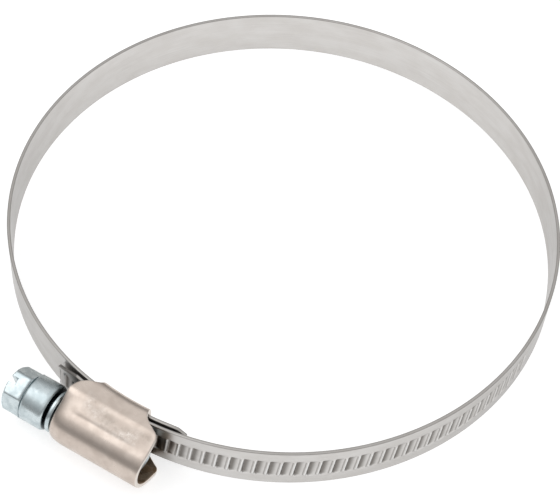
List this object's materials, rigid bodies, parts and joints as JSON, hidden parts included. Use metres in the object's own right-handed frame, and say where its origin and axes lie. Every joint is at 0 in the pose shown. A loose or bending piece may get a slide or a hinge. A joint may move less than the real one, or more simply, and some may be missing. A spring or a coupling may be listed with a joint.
{
  "type": "worm drive hose clamp",
  "caption": "Worm-drive hose clamp: thin steel band in a loop, outer layer with pressed thread, stamped housing, slotted hex screw.",
  "frame": {"origin": "middle of the bounding box, on the plane of the housing's lower side, which the clamp lies on", "axes": "+Z along the hose, +Y from the housing to the far side of the loop, +X along the screw from its head into the housing"},
  "size_m": [0.097, 0.1054, 0.0114],
  "materials": {
    "band_steel": "bright rolled stainless strip, satin, with fine lines along it",
    "housing_steel": "stamped steel with a warm nickel tone, scuffed on its flat sides",
    "zinc_plate": "bluish bright zinc plating"
  },
  "bodies": {
    "housing_with_fixed_end": {"housing": "housing_steel", "band_fixed_end": "band_steel"},
    "clamp_screw": {"clamp_screw": "zinc_plate"},
    "band_link_01": {"band_link_01": "band_steel"},
    "band_link_02": {"band_link_02": "band_steel"},
    "band_link_03": {"band_link_03": "band_steel"},
    "band_link_04": {"band_link_04": "band_steel"},
    "band_link_05": {"band_link_05": "band_steel"},
    "band_link_06": {"band_link_06": "band_steel"},
    "band_link_07": {"band_link_07": "band_steel"},
    "band_link_08": {"band_link_08": "band_steel"},
    "band_link_09": {"band_link_09": "band_steel"},
    "band_link_10": {"band_link_10": "band_steel"},
    "band_link_11": {"band_link_11": "band_steel"},
    "band_tail_end": {"band_tail_end": "band_steel"}
  },
  "joints": [
    {"name": "screw_spin", "type": "hinge", "parent": "housing_with_fixed_end", "child": "clamp_screw", "pos_m": [-0.01855, -0.0483, 0.0057], "axis": [1, 0, 0], "range_deg": [-1440, 9000]},
    {"name": "band_bend_01", "type": "hinge", "parent": "housing_with_fixed_end", "child": "band_link_01", "pos_m": [-0.01099, -0.04231, 0.0057], "axis": [0, 0, -1], "range_deg": [-1.06, 6.53]},
    {"name": "band_bend_02", "type": "hinge", "parent": "band_link_01", "child": "band_link_02", "pos_m": [-0.033, -0.03065, 0.0057], "axis": [0, 0, -1], "range_deg": [-0.97, 6]},
    {"name": "band_bend_03", "type": "hinge", "parent": "band_link_02", "child": "band_link_03", "pos_m": [-0.04615, -0.0095, 0.0057], "axis": [0, 0, -1], "range_deg": [-1.04, 6.4]},
    {"name": "band_bend_04", "type": "hinge", "parent": "band_link_03", "child": "band_link_04", "pos_m": [-0.04691, 0.0154, 0.0057], "axis": [0, 0, -1], "range_deg": [-1.03, 6.34]},
    {"name": "band_bend_05", "type": "hinge", "parent": "band_link_04", "child": "band_link_05", "pos_m": [-0.03508, 0.03733, 0.0057], "axis": [0, 0, -1], "range_deg": [-1.02, 6.29]},
    {"name": "band_bend_06", "type": "hinge", "parent": "band_link_05", "child": "band_link_06", "pos_m": [-0.01387, 0.05039, 0.0057], "axis": [0, 0, -1], "range_deg": [-1.01, 6.24]},
    {"name": "band_bend_07", "type": "hinge", "parent": "band_link_06", "child": "band_link_07", "pos_m": [0.01104, 0.0511, 0.0057], "axis": [0, 0, -1], "range_deg": [-1, 6.19]},
    {"name": "band_bend_08", "type": "hinge", "parent": "band_link_07", "child": "band_link_08", "pos_m": [0.03297, 0.03929, 0.0057], "axis": [0, 0, -1], "range_deg": [-0.99, 6.14]},
    {"name": "band_bend_09", "type": "hinge", "parent": "band_link_08", "child": "band_link_09", "pos_m": [0.04611, 0.01811, 0.0057], "axis": [0, 0, -1], "range_deg": [-0.99, 6.09]},
    {"name": "band_bend_10", "type": "hinge", "parent": "band_link_09", "child": "band_link_10", "pos_m": [0.04698, -0.00679, 0.0057], "axis": [0, 0, -1], "range_deg": [-0.98, 6.03]},
    {"name": "band_bend_11", "type": "hinge", "parent": "band_link_10", "child": "band_link_11", "pos_m": [0.03536, -0.02883, 0.0057], "axis": [0, 0, -1], "range_deg": [-0.97, 5.98]},
    {"name": "tail_bend", "type": "hinge", "parent": "band_link_11", "child": "band_tail_end", "pos_m": [0.01434, -0.04221, 0.0057], "axis": [0, 0, -1], "range_deg": [-1.04, 6.4]}
  ],
  "couplings": [
    {"joint": "band_bend_01", "follows": "screw_spin", "ratio": 0.0007236},
    {"joint": "band_bend_02", "follows": "screw_spin", "ratio": 0.0006651},
    {"joint": "band_bend_03", "follows": "screw_spin", "ratio": 0.0007091},
    {"joint": "band_bend_04", "follows": "screw_spin", "ratio": 0.0007033},
    {"joint": "band_bend_05", "follows": "screw_spin", "ratio": 0.0006975},
    {"joint": "band_bend_06", "follows": "screw_spin", "ratio": 0.0006917},
    {"joint": "band_bend_07", "follows": "screw_spin", "ratio": 0.0006859},
    {"joint": "band_bend_08", "follows": "screw_spin", "ratio": 0.0006802},
    {"joint": "band_bend_09", "follows": "screw_spin", "ratio": 0.0006745},
    {"joint": "band_bend_10", "follows": "screw_spin", "ratio": 0.0006688},
    {"joint": "band_bend_11", "follows": "screw_spin", "ratio": 0.0006632},
    {"joint": "tail_bend", "follows": "screw_spin", "ratio": 0.00071}
  ]
}
